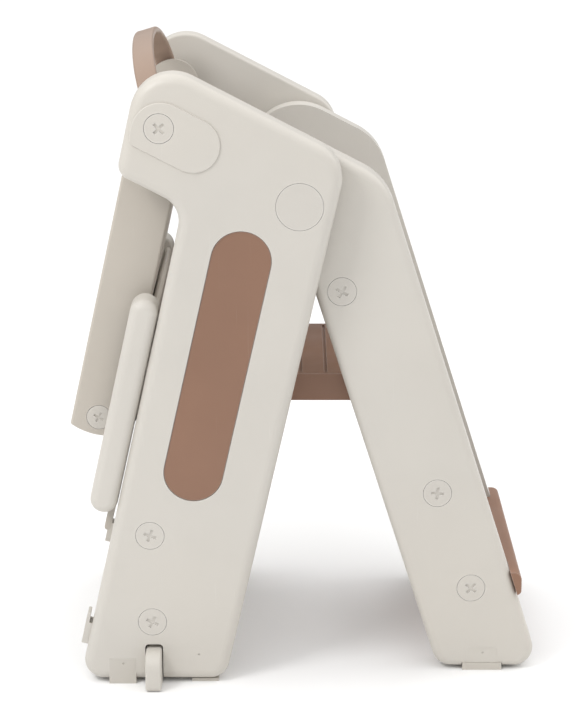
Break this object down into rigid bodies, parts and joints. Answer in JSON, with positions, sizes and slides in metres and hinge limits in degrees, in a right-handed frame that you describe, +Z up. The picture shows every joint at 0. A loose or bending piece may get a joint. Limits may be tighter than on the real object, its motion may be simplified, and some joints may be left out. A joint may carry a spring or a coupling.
{
  "type": "toddler slide",
  "caption": "Folding toddler slide: an A-frame of moulded side panels and a ladder, with a platform, a step, a stowed sliding chute, a guard bow and pull-out feet.",
  "frame": {"origin": "centre of the bounding box's floor footprint, on the floor", "axes": "+X towards the ladder side, +Y across the width, +Z up"},
  "size_m": [0.4839, 0.386, 0.6597],
  "materials": {
    "cream_plastic": "satin moulded",
    "brown_plastic": "satin moulded",
    "cap_plastic": "satin moulded",
    "sole_rubber": "soft matt",
    "pin_steel": "brushed",
    "shoe_plastic": "smooth"
  },
  "bodies": {
    "frame": {"side_panel_left": "cream_plastic", "side_panel_right": "cream_plastic", "arm_plateau_left": "cream_plastic", "arm_plateau_right": "cream_plastic", "front_beam_upper": "cream_plastic", "front_beam_lower": "cream_plastic", "latch_hook_left": "cream_plastic", "latch_hook_right": "cream_plastic", "platform_cleats": "cream_plastic", "inlay_left": "brown_plastic", "inlay_right": "brown_plastic", "platform": "brown_plastic", "frame_screw_caps": "cap_plastic", "pivot_covers": "cap_plastic", "arm_bosses": "cap_plastic", "front_soles": "sole_rubber", "pivot_pins": "pin_steel", "pivot_washers": "pin_steel", "hang_pins": "pin_steel"},
    "ladder": {"ladder_panel_left": "cream_plastic", "ladder_panel_right": "cream_plastic", "ladder_step": "brown_plastic", "ladder_screw_caps": "cap_plastic", "ladder_soles": "sole_rubber", "ladder_top_bar": "pin_steel"},
    "upper_chute": {"chute_upper": "cream_plastic", "chute_screw_caps": "cap_plastic", "slide_shoe_left": "shoe_plastic", "slide_shoe_right": "shoe_plastic"},
    "lower_chute": {"chute_rail_left": "cream_plastic", "chute_rail_right": "cream_plastic", "chute_lower_floor": "cream_plastic"},
    "guard": {"guard_bow": "brown_plastic"},
    "left_outrigger": {"outrigger_left": "cream_plastic"},
    "right_outrigger": {"outrigger_right": "cream_plastic"}
  },
  "joints": [
    {"name": "ladder_fold", "type": "hinge", "parent": "frame", "child": "ladder", "pos_m": [-0.0055, 0, 0.507], "axis": [0, 1, 0], "range_deg": [0, 30]},
    {"name": "chute_swing", "type": "hinge", "parent": "frame", "child": "upper_chute", "pos_m": [-0.1425, 0, 0.585], "axis": [0, 1, 0], "range_deg": [0, 50]},
    {"name": "chute_extend", "type": "slide", "parent": "upper_chute", "child": "lower_chute", "axis": [-0.2198, 0, -0.9755], "range_m": [0, 0.1]},
    {"name": "guard_swing", "type": "hinge", "parent": "frame", "child": "guard", "pos_m": [-0.1425, 0, 0.585], "axis": [0, 1, 0], "range_deg": [0, 75]},
    {"name": "left_outrigger_slide", "type": "slide", "parent": "frame", "child": "left_outrigger", "axis": [0, -1, 0], "range_m": [-0.024, 0]},
    {"name": "right_outrigger_slide", "type": "slide", "parent": "frame", "child": "right_outrigger", "axis": [0, 1, 0], "range_m": [-0.024, 0]}
  ]
}
